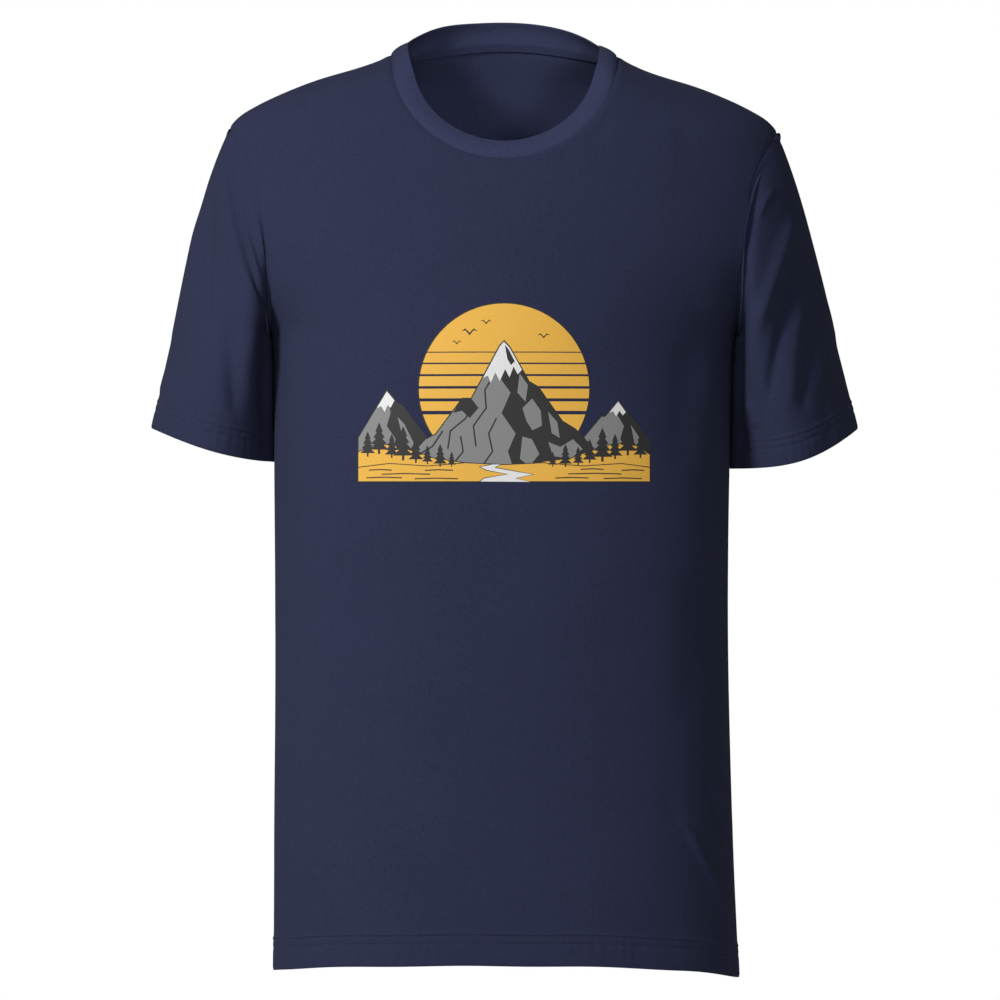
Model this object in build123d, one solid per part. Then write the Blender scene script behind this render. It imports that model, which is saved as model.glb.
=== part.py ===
from build123d import *
import math
import os

# A crew-neck short-sleeve t-shirt, size M, in the filled shape that it takes on a wearer.
# Millimetres. +X is the wearer's left, -Y the front, +Z up. The origin is midway between the
# two high points of the shoulders, where the shirt hangs from its wearer.

# Cloth and sewing
fabric = 0.6                # jersey, one layer
seam_gap = 0.3              # between two cut edges that meet at a seam
layer_gap = 0.2             # between two layers of cloth that lie on each other
allowance = 6.0             # width of the turned-in edges at a seam
allowance_thickness = 1.2   # both edges together
hem_height = 22.0           # turned-up hem of the body
sleeve_hem_height = 21.0    # turned-up hem of a sleeve
rib_width = 17.0            # collar band, from its seam to its folded edge
rib_thickness = 1.5         # collar band, two layers of rib knit
collar_gap = 0.7            # between the collar's cut edge and the body's
collar_lean_front = 0.54    # how far the collar leans in over the neck, as a sine
collar_lean_back = 0.30
tape_width = 6.5            # tape over the back neck seam, inside
print_film = 0.2            # ink of the chest print
film_gap = 0.15             # between the ink and the cloth under it
print_half = 115.0          # half width of the print
print_height = 141.0
print_top_drop = 203.0      # top of the print, below the high points of the shoulders

# Neck and shoulders
neck_half = 91.0            # half width between the high points of the shoulders
neck_front_drop = 87.5      # neck seam at the front, below the high points
neck_back_rise = 15.0       # neck seam at the back, above the high points
shoulder_half = 221.0       # half width between the shoulder points
shoulder_drop = 59.0        # shoulder points, below the high points
stub_rise = 26.0            # how far the body's surface is followed above the high points

# Body, as worn
chest_half = 184.0          # half width below the sleeves
waist_half = 182.0
hem_half = 187.0
chest_front = 125.0         # front of the chest, ahead of the side seams
chest_back = 117.0          # back of the chest, behind the side seams
side_length = 737.0         # hem at the side seams, below the high points
hem_front_rise = 15.0       # hem at the middle of the front, above the side seams' ends
hem_back_rise = 5.0

# Armholes and sleeves
underarm_drop = 225.0       # lowest point of the armhole
armhole_half = 186.0        # half width between the armholes at the underarm
armhole_curl = 46.0         # how quickly the armhole curves out towards the shoulder
sleeve_out = 285.0          # outer corner of the sleeve's hem, from the middle
sleeve_out_drop = 300.0
sleeve_in = 187.5           # inner corner of the sleeve's hem
sleeve_in_drop = 329.0
sleeve_hem_depth = 144.0    # front to back across the sleeve's hem
sleeve_hem_back = 16.0      # centre of the sleeve's hem, behind the side seam
sleeve_twist = 0.25         # how far the sleeve's back edge turns in towards the body
sleeve_sag = 6.0            # how far the front of the sleeve's hem hangs below its corners


def between(low, high, share):
    """The value a share of the way from low to high."""
    return low + (high - low) * share


def ease(value, start, end):
    """0 before start and 1 after end, with a smooth rise between them."""
    share = min(1.0, max(0.0, (value - start) / (end - start)))
    return share * share * (3 - 2 * share)


def profile(knots):
    """A smooth function through (position, value) knots that never overshoots them."""
    knots = sorted(knots)
    xs = [k[0] for k in knots]
    ys = [k[1] for k in knots]
    steps = [b - a for a, b in zip(xs, xs[1:])]
    slopes = [(b - a) / h for a, b, h in zip(ys, ys[1:], steps)]
    tangents = [slopes[0]]
    for before, after, left, right in zip(slopes, slopes[1:], steps, steps[1:]):
        if before * after <= 0:
            tangents.append(0.0)
            continue
        first = 2 * right + left
        second = right + 2 * left
        tangents.append((first + second) / (first / before + second / after))
    tangents.append(slopes[-1])

    def value_at(x):
        i = 0
        while i < len(steps) - 1 and x > xs[i + 1]:
            i += 1
        h = steps[i]
        s = (x - xs[i]) / h
        s2 = s * s
        s3 = s2 * s
        return (
            (2 * s3 - 3 * s2 + 1) * ys[i]
            + (s3 - 2 * s2 + s) * h * tangents[i]
            + (3 * s2 - 2 * s3) * ys[i + 1]
            + (s3 - s2) * h * tangents[i + 1]
        )

    return value_at


def ridge_knots():
    """The top of the shoulder, as (height, half width) from the neck out to the shoulder point."""
    shares = [(0.0, 0.0), (0.08, 0.075), (0.17, 0.19), (0.34, 0.455), (0.51, 0.655)]
    shares += [(0.68, 0.82), (0.85, 0.945), (1.0, 1.0)]
    return [
        (-shoulder_drop * down, between(neck_half, shoulder_half, out))
        for down, out in shares
    ]


def armhole_x(z):
    """Half width between the two armhole seams at a height."""
    curl = math.exp((z + shoulder_drop) / armhole_curl)
    return armhole_half + (shoulder_half - armhole_half) * curl


half_width = profile(
    [
        (-side_length, hem_half),
        (-0.88 * side_length, between(waist_half, hem_half, 0.55)),
        (-0.62 * side_length, waist_half),
        (-0.40 * side_length, chest_half - 0.5),
        (-underarm_drop - 25, chest_half + 0.5),
        (-underarm_drop, armhole_x(-underarm_drop)),
        (-underarm_drop + 15, armhole_half + 8),
        (-underarm_drop + 45, armhole_half + 23),
        (-underarm_drop + 85, shoulder_half + 2),
        (-0.45 * underarm_drop, shoulder_half + 5),
        (-shoulder_drop - 14, shoulder_half + 3),
    ]
    + ridge_knots()
    + [(stub_rise / 2, neck_half - 9), (stub_rise, neck_half - 13)]
)
front_depth = profile(
    [
        (-side_length, chest_front - 1),
        (-0.5 * side_length, chest_front + 2),
        (-underarm_drop - 25, chest_front),
        (-0.8 * underarm_drop, chest_front - 12),
        (-0.5 * underarm_drop, chest_front - 35),
        (-shoulder_drop, chest_front - 52),
        (0, chest_front - 74),
        (stub_rise, chest_front - 82),
    ]
)
back_depth = profile(
    [
        (-side_length, chest_back + 2),
        (-0.55 * side_length, chest_back - 6),
        (-underarm_drop - 25, chest_back),
        (-0.7 * underarm_drop, chest_back - 3),
        (-0.45 * underarm_drop, chest_back - 14),
        (-shoulder_drop, chest_back - 27),
        (-22, chest_back - 39),
        (0, chest_back - 49),
        (stub_rise, chest_back - 60),
    ]
)


def squareness(z):
    """Exponent of the body's level section: 2 is an ellipse, and more is boxier."""
    return between(2.5, 2.0, ease(z, -underarm_drop - 110, -underarm_drop - 10))


def hem_z(turn):
    """Height of the hem round the body."""
    rise = hem_front_rise if math.sin(turn) < 0 else hem_back_rise
    return -side_length + rise * abs(math.sin(turn)) ** 1.3


def body_at(turn, z):
    """A point of the body's outer surface. turn is 0 at the wearer's left and 90 degrees at the back."""
    c = math.cos(turn)
    s = math.sin(turn)
    n = squareness(z)
    k = (abs(c) ** n + abs(s) ** n) ** (-1 / n)
    depth = back_depth(z) if s > 0 else front_depth(z)
    return Vector(half_width(z) * c * k, depth * s * k, z)


def body(turn, up):
    """The body's outer surface, with up from 0 at the hem to 1 at the top of the neck stub."""
    return body_at(turn, between(hem_z(turn), stub_rise, up))


def crossing(low, high):
    """The height between low and high where the armhole seam meets the body's side."""
    for _ in range(60):
        middle = (low + high) / 2
        if half_width(middle) > armhole_x(middle):
            high = middle
        else:
            low = middle
    return (low + high) / 2


underarm_z = crossing(-underarm_drop - 24, -underarm_drop + 20)


def armhole(around, side):
    """A point of the armhole seam. around is 0 at the shoulder point and 180 degrees at the underarm."""
    middle = (-shoulder_drop + underarm_z) / 2
    z = middle + (-shoulder_drop - middle) * math.cos(around)
    x = armhole_x(z)
    depth = front_depth(z) if math.sin(around) < 0 else back_depth(z)
    inside = max(0.0, 1 - (x / half_width(z)) ** 2)
    y = math.copysign(depth * math.sqrt(inside), math.sin(around))
    return Vector(side * x, y, z)


def sleeve_hem_point(around, side):
    """A point of the sleeve's hem. around is 0 at its outer corner."""
    across = (1 + math.cos(around)) / 2
    y = sleeve_hem_depth / 2 * math.sin(around)
    x = between(sleeve_in, sleeve_out, across) - sleeve_twist * y * (1 - across)
    sag = sleeve_sag * max(0.0, -math.sin(around)) ** 2
    z = between(-sleeve_in_drop, -sleeve_out_drop, across) - sag
    return Vector(side * x, y + sleeve_hem_back, z)


def sleeve(side):
    """The outer surface of a sleeve, as a function of (around, down), with down from 0 to 1 at the hem."""

    def surface(around, down):
        start = armhole(around, side)
        end = sleeve_hem_point(around, side)
        top = (1 + math.cos(around)) / 2
        leave = Vector(side * between(0.02, 0.43, top), 0, -between(1.0, 0.90, top))
        arrive = Vector(side * between(0.0, 0.25, top), 0, -1)
        reach = (end - start).length
        s2 = down * down
        s3 = s2 * down
        return (
            start * (2 * s3 - 3 * s2 + 1)
            + leave.normalized() * reach * (s3 - 2 * s2 + down)
            + end * (3 * s2 - 2 * s3)
            + arrive.normalized() * reach * (s3 - s2)
        )

    return surface


def neck_z(turn):
    """Height of the neck seam, at a turn round the body."""
    if math.sin(turn) >= 0:
        return neck_back_rise * math.sin(turn) ** 2
    low = -neck_front_drop
    high = 0.0
    for _ in range(50):
        middle = (low + high) / 2
        out = neck_half * math.sqrt(1 - (middle / neck_front_drop) ** 2)
        if half_width(middle) * abs(math.cos(turn)) > out:
            low = middle
        else:
            high = middle
    return (low + high) / 2


def neck_seam(turn):
    return body_at(turn, neck_z(turn))


def collar(turn, up):
    """The collar band's outer surface, with up from 0 at its seam to 1 at its folded edge."""
    start = neck_seam(turn)
    along = (neck_seam(turn + 1e-3) - neck_seam(turn - 1e-3)).normalized()
    c = math.cos(turn)
    s = math.sin(turn)
    lean = collar_lean_front if s < 0 else collar_lean_back
    climb = math.sqrt(1 - lean**2)
    rise = Vector(-0.87 * c, -lean * s, between(0.52, climb, abs(s) ** 1.4))
    rise = (rise - along * rise.dot(along)).normalized()
    out = Vector(c, s, 0.4)
    return start + rise * (rib_width * up) + out * (1.5 * math.sin(math.pi * up))


def inward(surface, u, v):
    """Unit normal of a surface, on the side away from its outer face."""
    step = 1e-4
    along_u = surface(u + step, v) - surface(u - step, v)
    along_v = surface(u, v + step) - surface(u, v - step)
    return along_v.cross(along_u).normalized()


def steps(low, high, count):
    """Equal steps from low to high, with both ends."""
    return [between(low, high, i / count) for i in range(count + 1)]


def layer(surface, us, vs, depth, thickness, flip=1):
    """A layer of cloth: its outer face is depth below a surface, and it is thickness thick."""
    outer = []
    inner = []
    for u in us:
        points = [surface(u, v) for v in vs]
        normals = [inward(surface, u, v) * flip for v in vs]
        outer.append([p + n * depth for p, n in zip(points, normals)])
        inner.append([p + n * (depth + thickness) for p, n in zip(points, normals)])
    top = Face.make_surface_from_array_of_points(outer)
    under = Face.make_surface_from_array_of_points(inner)
    rims = [
        Face.make_surface_from_curves(a, b) for a, b in zip(top.edges(), under.edges())
    ]
    return Solid(Shell([top, under] + rims))


def prism(curve, corners, y_from, y_to):
    """A solid between two depths, bounded in front view by a smooth curve and straight corners."""
    points = [Vector(x, y_from, z) for x, z in curve]
    edges = [Edge.make_spline(points)]
    ends = [points[-1]] + [Vector(x, y_from, z) for x, z in corners] + [points[0]]
    edges += [Edge.make_line(a, b) for a, b in zip(ends, ends[1:])]
    face = Face(Wire(edges))
    return extrude(face, amount=y_to - y_from, dir=(0, 1, 0))


def armhole_cutter(side):
    """All that lies outside one armhole seam in front view."""
    heights = steps(-shoulder_drop + 24, underarm_z - 9, 40)
    curve = [(side * armhole_x(z), z) for z in heights]
    out = side * (sleeve_out + 20)
    return prism(curve, [(out, heights[-1]), (out, heights[0])], -200, 200)


def front_neck_cutter():
    turns = steps(0, math.pi, 40)
    curve = [(neck_half * math.cos(t), -neck_front_drop * math.sin(t)) for t in turns]
    side = neck_half + 40
    corners = [(-side, 0), (-side, 60), (side, 60), (side, 0)]
    return prism(curve, corners, -200, 5)


def back_neck_cutter():
    turns = steps(0, math.pi, 40)
    curve = [(neck_seam(t).X, neck_seam(t).Z) for t in turns]
    side = neck_half + 40
    corners = [(-side, 0), (-side, 60), (side, 60), (side, 0)]
    return prism(curve, corners, -5, 200)


def panel_heights():
    """Stations up the body, as shares of its height, closer together where it bends."""
    whole = side_length + stub_rise
    drops = steps(side_length, 329, 17)
    drops += [305 - 9 * i for i in range(25)]
    drops += [80 - 5 * i for i in range(9)]
    drops += [35 - 2.5 * i for i in range(25)]
    return [(side_length - d) / whole for d in drops if d > -stub_rise] + [1.0]


def panel(start_turn):
    """Front or back panel before its neck is cut, from one side seam to the other."""
    edge = 0.002
    turns = steps(start_turn + edge, start_turn + math.pi - edge, 64)
    cloth = layer(body, turns, panel_heights(), 0, fabric)
    return cloth - armhole_cutter(1) - armhole_cutter(-1)


def front_panel():
    return panel(math.pi) - front_neck_cutter()


def back_panel():
    return panel(0) - back_neck_cutter()


def body_hem(start_turn):
    """Turned-up cloth inside the hem of one panel."""

    def surface(turn, up):
        return body_at(turn, hem_z(turn) + up * hem_height)

    turns = steps(start_turn + 0.004, start_turn + math.pi - 0.004, 48)
    return layer(surface, turns, steps(0.01, 1, 4), fabric + layer_gap, fabric)


def side_seam():
    """Allowance of the left side seam, turned to the back."""

    def surface(across, up):
        z = between(-side_length + hem_height + 3, underarm_z - 3, up)
        return body_at(0.004 + across * allowance / back_depth(z), z)

    return layer(surface, steps(0, 1, 3), steps(0, 1, 40), fabric + layer_gap, allowance_thickness)


def shoulder_seam():
    """Allowance of the left shoulder seam, turned to the back."""

    def surface(across, up):
        z = between(-shoulder_drop + 4, -4, up)
        return body_at(0.004 + across * allowance / back_depth(z), z)

    return layer(surface, steps(0, 1, 3), steps(0, 1, 24), fabric + layer_gap, allowance_thickness)


def below_neck(width):
    """A band of the body's surface along the neck seam, as a function of (turn, up)."""

    def surface(turn, up):
        z = neck_z(turn)
        slope = (body_at(turn, z) - body_at(turn, z - 1)).length
        return body_at(turn, z - between(width, 0.6, up) / slope)

    return surface


def neck_seam_allowance():
    turns = steps(0.004, 2 * math.pi - 0.004, 140)
    depth = fabric + layer_gap + 0.05
    return layer(below_neck(allowance), turns, steps(0, 1, 4), depth, allowance_thickness)


def neck_tape():
    """Tape over the back neck seam, between the shoulder seams."""
    depth = fabric + layer_gap + allowance_thickness + layer_gap
    turns = steps(0.1, math.pi - 0.1, 40)
    return layer(below_neck(tape_width), turns, steps(0, 1, 3), depth, fabric)


def collar_band():
    turns = steps(0.002, 2 * math.pi - 0.002, 120)
    ups = [collar_gap / rib_width] + steps(0.1, 1, 8)
    return layer(collar, turns, ups, 0, rib_thickness)


def sleeve_reach(around, side):
    """Length of a sleeve from its armhole seam to its hem, in a straight line."""
    return (sleeve_hem_point(around, side) - armhole(around, side)).length


def sleeve_panel():
    edge = 0.003
    arounds = steps(edge - math.pi, math.pi - edge, 64)
    return layer(sleeve(1), arounds, [0.0022] + steps(0.02, 1, 32), 0, fabric, -1)


def sleeve_hem():
    """Turned-up cloth inside the left sleeve's hem."""
    cloth = sleeve(1)

    def surface(around, down):
        return cloth(around, 1 - (1 - down) * sleeve_hem_height / sleeve_reach(around, 1))

    arounds = steps(0.006 - math.pi, math.pi - 0.006, 48)
    return layer(surface, arounds, steps(0, 0.99, 4), fabric + layer_gap, fabric, -1)


def armhole_seam():
    """Allowance of the left armhole seam, turned into the sleeve."""
    cloth = sleeve(1)

    def surface(around, down):
        return cloth(around, between(0.6, allowance, down) / sleeve_reach(around, 1))

    arounds = steps(0.3 - math.pi, math.pi - 0.3, 60)
    return layer(surface, arounds, steps(0, 1, 3), fabric + layer_gap, allowance_thickness, -1)


def underarm_seam():
    """Allowance of the left sleeve's own seam, turned to the back."""
    cloth = sleeve(1)

    def surface(across, down):
        share = between(0.1, 0.76, down)
        width = (cloth(math.pi, share) - cloth(math.pi - 0.01, share)).length / 0.01
        return cloth(math.pi - 0.01 - across * allowance / width, share)

    return layer(surface, steps(0, 1, 3), steps(0, 1, 20), fabric + layer_gap, allowance_thickness)


def print_outline():
    """Outline of the chest print: a sun behind a range of peaks, as (x, height above its foot)."""
    w = print_half
    h = print_height
    foot = [(-w, 0.0), (w, 0.0), (w, 0.22 * h)]
    right = [(0.78 * w, 0.46 * h), (0.60 * w, 0.31 * h)]
    sun_centre = 0.52 * h
    radius = h - sun_centre
    sun = [
        (radius * math.cos(a), sun_centre + radius * math.sin(a))
        for a in steps(-0.32, math.pi + 0.32, 48)
    ]
    left = [(-0.60 * w, 0.33 * h), (-0.80 * w, 0.52 * h), (-w, 0.25 * h)]
    return foot + right + sun + left


def chest_print():
    """Film of ink on the front of the chest."""
    foot = -print_top_drop - print_height
    corners = [Vector(x, -200, foot + z) for x, z in print_outline()]
    shape = Face(Wire.make_polygon(corners))
    block = extrude(shape, amount=200, dir=(0, 1, 0))

    def surface(turn, up):
        return body_at(turn, between(foot - 8, foot + print_height + 8, up))

    turns = steps(1.5 * math.pi - 0.95, 1.5 * math.pi + 0.95, 32)
    film = layer(surface, turns, steps(0, 1, 20), -print_film - film_gap, print_film)
    return film & block


def save(name, shape):
    """One solid to its own file."""
    solid = shape.solids()[0]
    export_step(solid, f"parts/{name}.step")


def save_pair(name, shape):
    """A part of the left side, and its mirror image on the right."""
    save(name + "_left", shape)
    save(name + "_right", mirror(shape, about=Plane.YZ))


os.makedirs("parts", exist_ok=True)
save("front_panel", front_panel())
save("back_panel", back_panel())
save("front_hem", body_hem(math.pi))
save("back_hem", body_hem(0))
save("collar_rib", collar_band())
save("neck_seam", neck_seam_allowance())
save("neck_tape", neck_tape())
save("chest_print", chest_print())
save_pair("sleeve", sleeve_panel())
save_pair("sleeve_hem", sleeve_hem())
save_pair("armhole_seam", armhole_seam())
save_pair("underarm_seam", underarm_seam())
save_pair("side_seam", side_seam())
save_pair("shoulder_seam", shoulder_seam())
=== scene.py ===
import bpy
import math
import numpy as np
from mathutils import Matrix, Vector
from mathutils.bvhtree import BVHTree
from mathutils.geometry import delaunay_2d_cdt


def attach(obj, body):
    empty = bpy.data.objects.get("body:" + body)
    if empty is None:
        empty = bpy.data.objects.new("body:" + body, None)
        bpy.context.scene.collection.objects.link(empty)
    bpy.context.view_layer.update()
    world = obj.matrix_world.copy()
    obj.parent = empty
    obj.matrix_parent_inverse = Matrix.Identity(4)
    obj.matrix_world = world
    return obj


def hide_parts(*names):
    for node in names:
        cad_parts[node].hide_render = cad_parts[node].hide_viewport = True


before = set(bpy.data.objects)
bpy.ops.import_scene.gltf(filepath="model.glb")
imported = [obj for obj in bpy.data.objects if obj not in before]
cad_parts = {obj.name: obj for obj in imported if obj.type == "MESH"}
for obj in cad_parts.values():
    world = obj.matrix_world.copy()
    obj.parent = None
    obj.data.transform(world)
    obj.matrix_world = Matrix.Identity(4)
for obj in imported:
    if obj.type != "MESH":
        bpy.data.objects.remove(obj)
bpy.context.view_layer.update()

# Sizes are in millimetres until a mesh is made. +X is the wearer's left, -Y the front, +Z up.
CLOTH = 0.6
HEM = 25.0
SLEEVE_HEM = 22.0
NECK_HALF = 91.0
NECK_DROP = 87.5
NECK_RISE = 15.0
RIB_WIDTH = 17.0
SHOULDER_HALF = 221.0
SHOULDER_DROP = 59.0
SIDE_LENGTH = 737.0
EDGE = 0.0015
SIDES = ((1, "left"), (-1, "right"))
# Half the step for a surface's slope, as a turn or a share of the sleeve, and as a height
STEP = 1e-3
STEP_UP = 0.5
CAMERA = np.array([-3.2, -4500.0, -358.0])
SENSOR = 36
PHOTO_WIDTH = 0.805


def between(low, high, share):
    return low + (high - low) * share


def ease(value, start, end):
    """0 before start and 1 after end, with a smooth rise between them."""
    s = np.clip((value - start) / (end - start), 0, 1)
    return s * s * (3 - 2 * s)


def profile(knots, blur):
    """A smooth function through (height, value) knots, rounded over a blur length."""
    z, v = np.array(sorted(knots), float).T
    slope = np.diff(v) / np.diff(z)
    m = np.empty(len(z))
    m[0], m[-1] = slope[0], slope[-1]
    for i in range(1, len(z) - 1):
        a, b = slope[i - 1], slope[i]
        w = z[i + 1] - z[i - 1]
        p, q = w + z[i + 1] - z[i], w + z[i] - z[i - 1]
        m[i] = 0 if a * b <= 0 else (p + q) / (p / a + q / b)
    fine = np.arange(z[0] - 40, z[-1] + 40, 0.5)
    i = np.clip(np.searchsorted(z, fine) - 1, 0, len(z) - 2)
    h = z[i + 1] - z[i]
    s = (fine - z[i]) / h
    inside = np.clip(s, 0, 1)
    s2, s3 = inside ** 2, inside ** 3
    values = (2 * s3 - 3 * s2 + 1) * v[i] + (s3 - 2 * s2 + inside) * h * m[i]
    values += (3 * s2 - 2 * s3) * v[i + 1] + (s3 - s2) * h * m[i + 1]
    values += np.where(s < 0, s * h * m[0], 0) + np.where(s > 1, (s - 1) * h * m[-1], 0)
    reach = int(blur * 6)
    kernel = np.exp(-0.5 * (np.arange(-reach, reach + 1) * 0.5 / blur) ** 2)
    padded = np.pad(values, reach, mode="reflect", reflect_type="odd")
    soft = np.convolve(padded, kernel / kernel.sum(), mode="valid")
    return lambda q: np.interp(q, fine, soft)


def armhole_x(z):
    """Half width between the armhole seams at a height."""
    return 186 + 35 * np.exp((z + SHOULDER_DROP) / 46)


RIDGE = [(0.0, 0.0), (0.08, 0.075), (0.17, 0.19), (0.34, 0.455), (0.51, 0.655)]
RIDGE += [(0.68, 0.82), (0.85, 0.945), (1.0, 1.0)]
WIDTHS = [(-737, 187), (-649, 184.8), (-457, 182), (-295, 183.5), (-250, 184.5)]
WIDTHS += [(-225, 186.95), (-210, 194), (-180, 209), (-140, 223), (-101, 226), (-73, 224)]
WIDTHS += [(-SHOULDER_DROP * d, between(NECK_HALF, SHOULDER_HALF, o)) for d, o in RIDGE]
WIDTHS += [(13, 82), (26, 78)]
half_width = profile(WIDTHS, 2.0)
FRONT_DEPTHS = [(-737, 124), (-368, 127), (-250, 125), (-180, 113), (-112, 90), (-59, 73)]
FRONT_DEPTHS += [(0, 51), (26, 43)]
BACK_DEPTHS = [(-737, 119), (-405, 111), (-250, 117), (-157, 114), (-101, 103), (-59, 90)]
BACK_DEPTHS += [(-22, 78), (0, 68), (26, 57)]
front_depth = profile(FRONT_DEPTHS, 8)
back_depth = profile(BACK_DEPTHS, 8)
lean = profile([(-740, 1.8), (-600, -0.8), (-400, -2.0), (-250, -1.0), (-120, 0), (0, 0), (30, 0)], 20)


def section_power(z):
    """Power of the rounded shape of the body's level sections: 2 is an ellipse."""
    return between(2.5, 2.0, ease(z, -335, -235))


def body_at(turn, z):
    """A point of the body's outer surface. turn is 0 at the wearer's left and pi/2 at the back."""
    c, s = np.cos(turn), np.sin(turn)
    n = section_power(z)
    k = (np.abs(c) ** n + np.abs(s) ** n) ** (-1 / n)
    depth = np.where(s > 0, back_depth(z), front_depth(z))
    x = half_width(z) * c * k + lean(z)
    # The left shoulder hangs a little lower than the right one
    drop = ease(x, 78, 150) * (1 - ease(-z, 90, 235))
    extra = 1.4 * np.exp(-((x - 112) / 30) ** 2) * (1 - ease(-z, 60, 120))
    return np.stack([x - 1.0 * drop, depth * s * k, z - 3.6 * drop - extra], -1)


def hem_z(turn):
    """Height of the hem round the body, with the slight slope and ripple of a hanging hem."""
    s = np.sin(turn)
    rise = np.where(s < 0, 15.0, 5.0) * np.abs(s) ** 1.3
    slope = 1.6 * np.cos(turn) + 2.6 * ease(np.cos(turn), 0.7, 1.0)
    ripple = 0.5 * np.sin(5 * turn + 0.6) + 0.35 * np.sin(11 * turn + 2.0)
    return -SIDE_LENGTH + rise - slope + ripple * np.abs(s)


def crossing():
    """Height where the armhole seam meets the body's side."""
    low, high = -245.0, -205.0
    for _ in range(50):
        mid = (low + high) / 2
        if half_width(mid) > armhole_x(mid):
            high = mid
        else:
            low = mid
    return (low + high) / 2


UNDERARM = crossing()


def armhole_turn(around):
    """(turn, height) of the left armhole seam, with around 0 at the shoulder and pi at the underarm."""
    mid = (-SHOULDER_DROP + UNDERARM) / 2
    z = mid + (-SHOULDER_DROP - mid) * np.cos(around)
    ratio = np.clip(armhole_x(z) / half_width(z), -1, 1)
    return np.arccos(ratio) * np.sign(np.sin(around)), z


def armhole(around, side):
    turn, z = armhole_turn(around)
    return body_at(turn if side > 0 else math.pi - turn, z)


def body_normal(turn, z):
    """The body's outward direction."""
    du = body_at(turn + STEP, z) - body_at(turn - STEP, z)
    dv = body_at(turn, z + STEP_UP) - body_at(turn, z - STEP_UP)
    return unit(np.cross(du, dv))


def armhole_frame(around, side):
    """The body's outward direction at the armhole seam, and the direction into the panel."""
    turn, z = armhole_turn(around)
    normal = body_normal(turn if side > 0 else math.pi - turn, z)
    along = armhole(around + STEP, side) - armhole(around - STEP, side)
    return normal, unit(np.cross(normal, along)) * side


def neck_table():
    """Height of the neck seam against the turn, for the front of the neck."""
    turns = np.linspace(math.pi, 2 * math.pi, 721)
    low = np.full(721, -NECK_DROP)
    high = np.zeros(721)
    for _ in range(40):
        mid = (low + high) / 2
        out = NECK_HALF * np.sqrt(1 - (mid / NECK_DROP) ** 2)
        big = half_width(mid) * np.abs(np.cos(turns)) > out
        low = np.where(big, mid, low)
        high = np.where(big, high, mid)
    return turns, (low + high) / 2


NECK_TURNS, NECK_HEIGHTS = neck_table()


def neck_z(turn):
    turn = np.mod(turn, 2 * math.pi)
    back = NECK_RISE * np.sin(turn) ** 2
    return np.where(np.sin(turn) >= 0, back, np.interp(turn, NECK_TURNS, NECK_HEIGHTS))


def unit(v):
    return v / np.maximum(np.linalg.norm(v, axis=-1, keepdims=True), 1e-12)


def seen(p):
    """Where a point stands in the camera's view, as x and z in the plane of the side seams."""
    scale = -CAMERA[1] / (p[..., 1] - CAMERA[1])
    x = CAMERA[0] + (p[..., 0] - CAMERA[0]) * scale
    z = CAMERA[2] + (p[..., 2] - CAMERA[2]) * scale
    return np.stack([x, z], -1)


def along_line(q, line):
    """Distance of points from a polyline in the view, and how far along it they lie, from 0 to 1."""
    line = np.array(line, float)
    best = np.full(q.shape[:-1], 1e9)
    place = np.zeros(q.shape[:-1])
    parts = np.linalg.norm(np.diff(line, axis=0), axis=1)
    total = parts.sum()
    done = 0.0
    for a, b, length in zip(line, line[1:], parts):
        t = np.clip(((q - a) @ (b - a)) / length ** 2, 0, 1)
        d = np.linalg.norm(q - (a + t[..., None] * (b - a)), axis=-1)
        nearer = d < best
        best = np.where(nearer, d, best)
        place = np.where(nearer, (done + t * length) / total, place)
        done += length
    return best, place


def smooth_line(points, count=24):
    """A curve through points, as many short straight parts."""
    p = np.array(points, float)
    p = np.vstack([2 * p[0] - p[1], p, 2 * p[-1] - p[-2]])
    out = []
    for a, b, c, d in zip(p, p[1:], p[2:], p[3:]):
        for t in np.linspace(0, 1, count // max(1, len(points) - 1), endpoint=False):
            square = (2 * a - 5 * b + 4 * c - d) * t * t
            out.append(0.5 * (2 * b + (c - a) * t + square + (3 * b - a - 3 * c + d) * t ** 3))
    return out + [p[-2]]


def pts(*numbers):
    """Pairs of numbers as points."""
    return list(zip(numbers[::2], numbers[1::2]))


def fold_height(p, folds):
    """Outward shift of the cloth at points, from folds of (line, width, height)."""
    q = seen(p)
    total = np.zeros(p.shape[:-1])
    for line, width, height in folds:
        d, s = along_line(q, smooth_line(line))
        fade = np.clip(s / 0.25, 0, 1) * np.clip((1 - s) / 0.25, 0, 1)
        total += height * np.exp(-(d / width) ** 2) * fade * fade * (3 - 2 * fade)
    return total


def new_mesh(name, verts, faces, uv=None, sharp=40):
    """An object from millimetre points, quads or triangles, and one (u, v) per point in metres."""
    mesh = bpy.data.meshes.new(name)
    mesh.from_pydata((np.asarray(verts) / 1000).tolist(), [], faces)
    mesh.validate()
    if uv is not None:
        layer = mesh.uv_layers.new(name="cloth")
        index = np.empty(len(mesh.loops), int)
        mesh.loops.foreach_get("vertex_index", index)
        layer.data.foreach_set("uv", (np.asarray(uv)[index] / 1000).ravel())
    mesh.shade_smooth()
    if sharp:
        mesh.set_sharp_from_angle(angle=math.radians(sharp))
    obj = bpy.data.objects.new(name, mesh)
    bpy.context.scene.collection.objects.link(obj)
    return obj


def grid_faces(rows, cols, wrap=False, flip=False):
    """Quads of a grid of points, row by row. wrap joins the last column to the first."""
    r = np.arange(rows - 1)[:, None]
    c = np.arange(cols if wrap else cols - 1)[None, :]
    n = (c + 1) % cols
    low, high = r * cols, (r + 1) * cols
    quads = np.stack([low + c, low + n, high + n, high + c], -1).reshape(-1, 4)
    return (quads[:, ::-1] if flip else quads).tolist()


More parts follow.
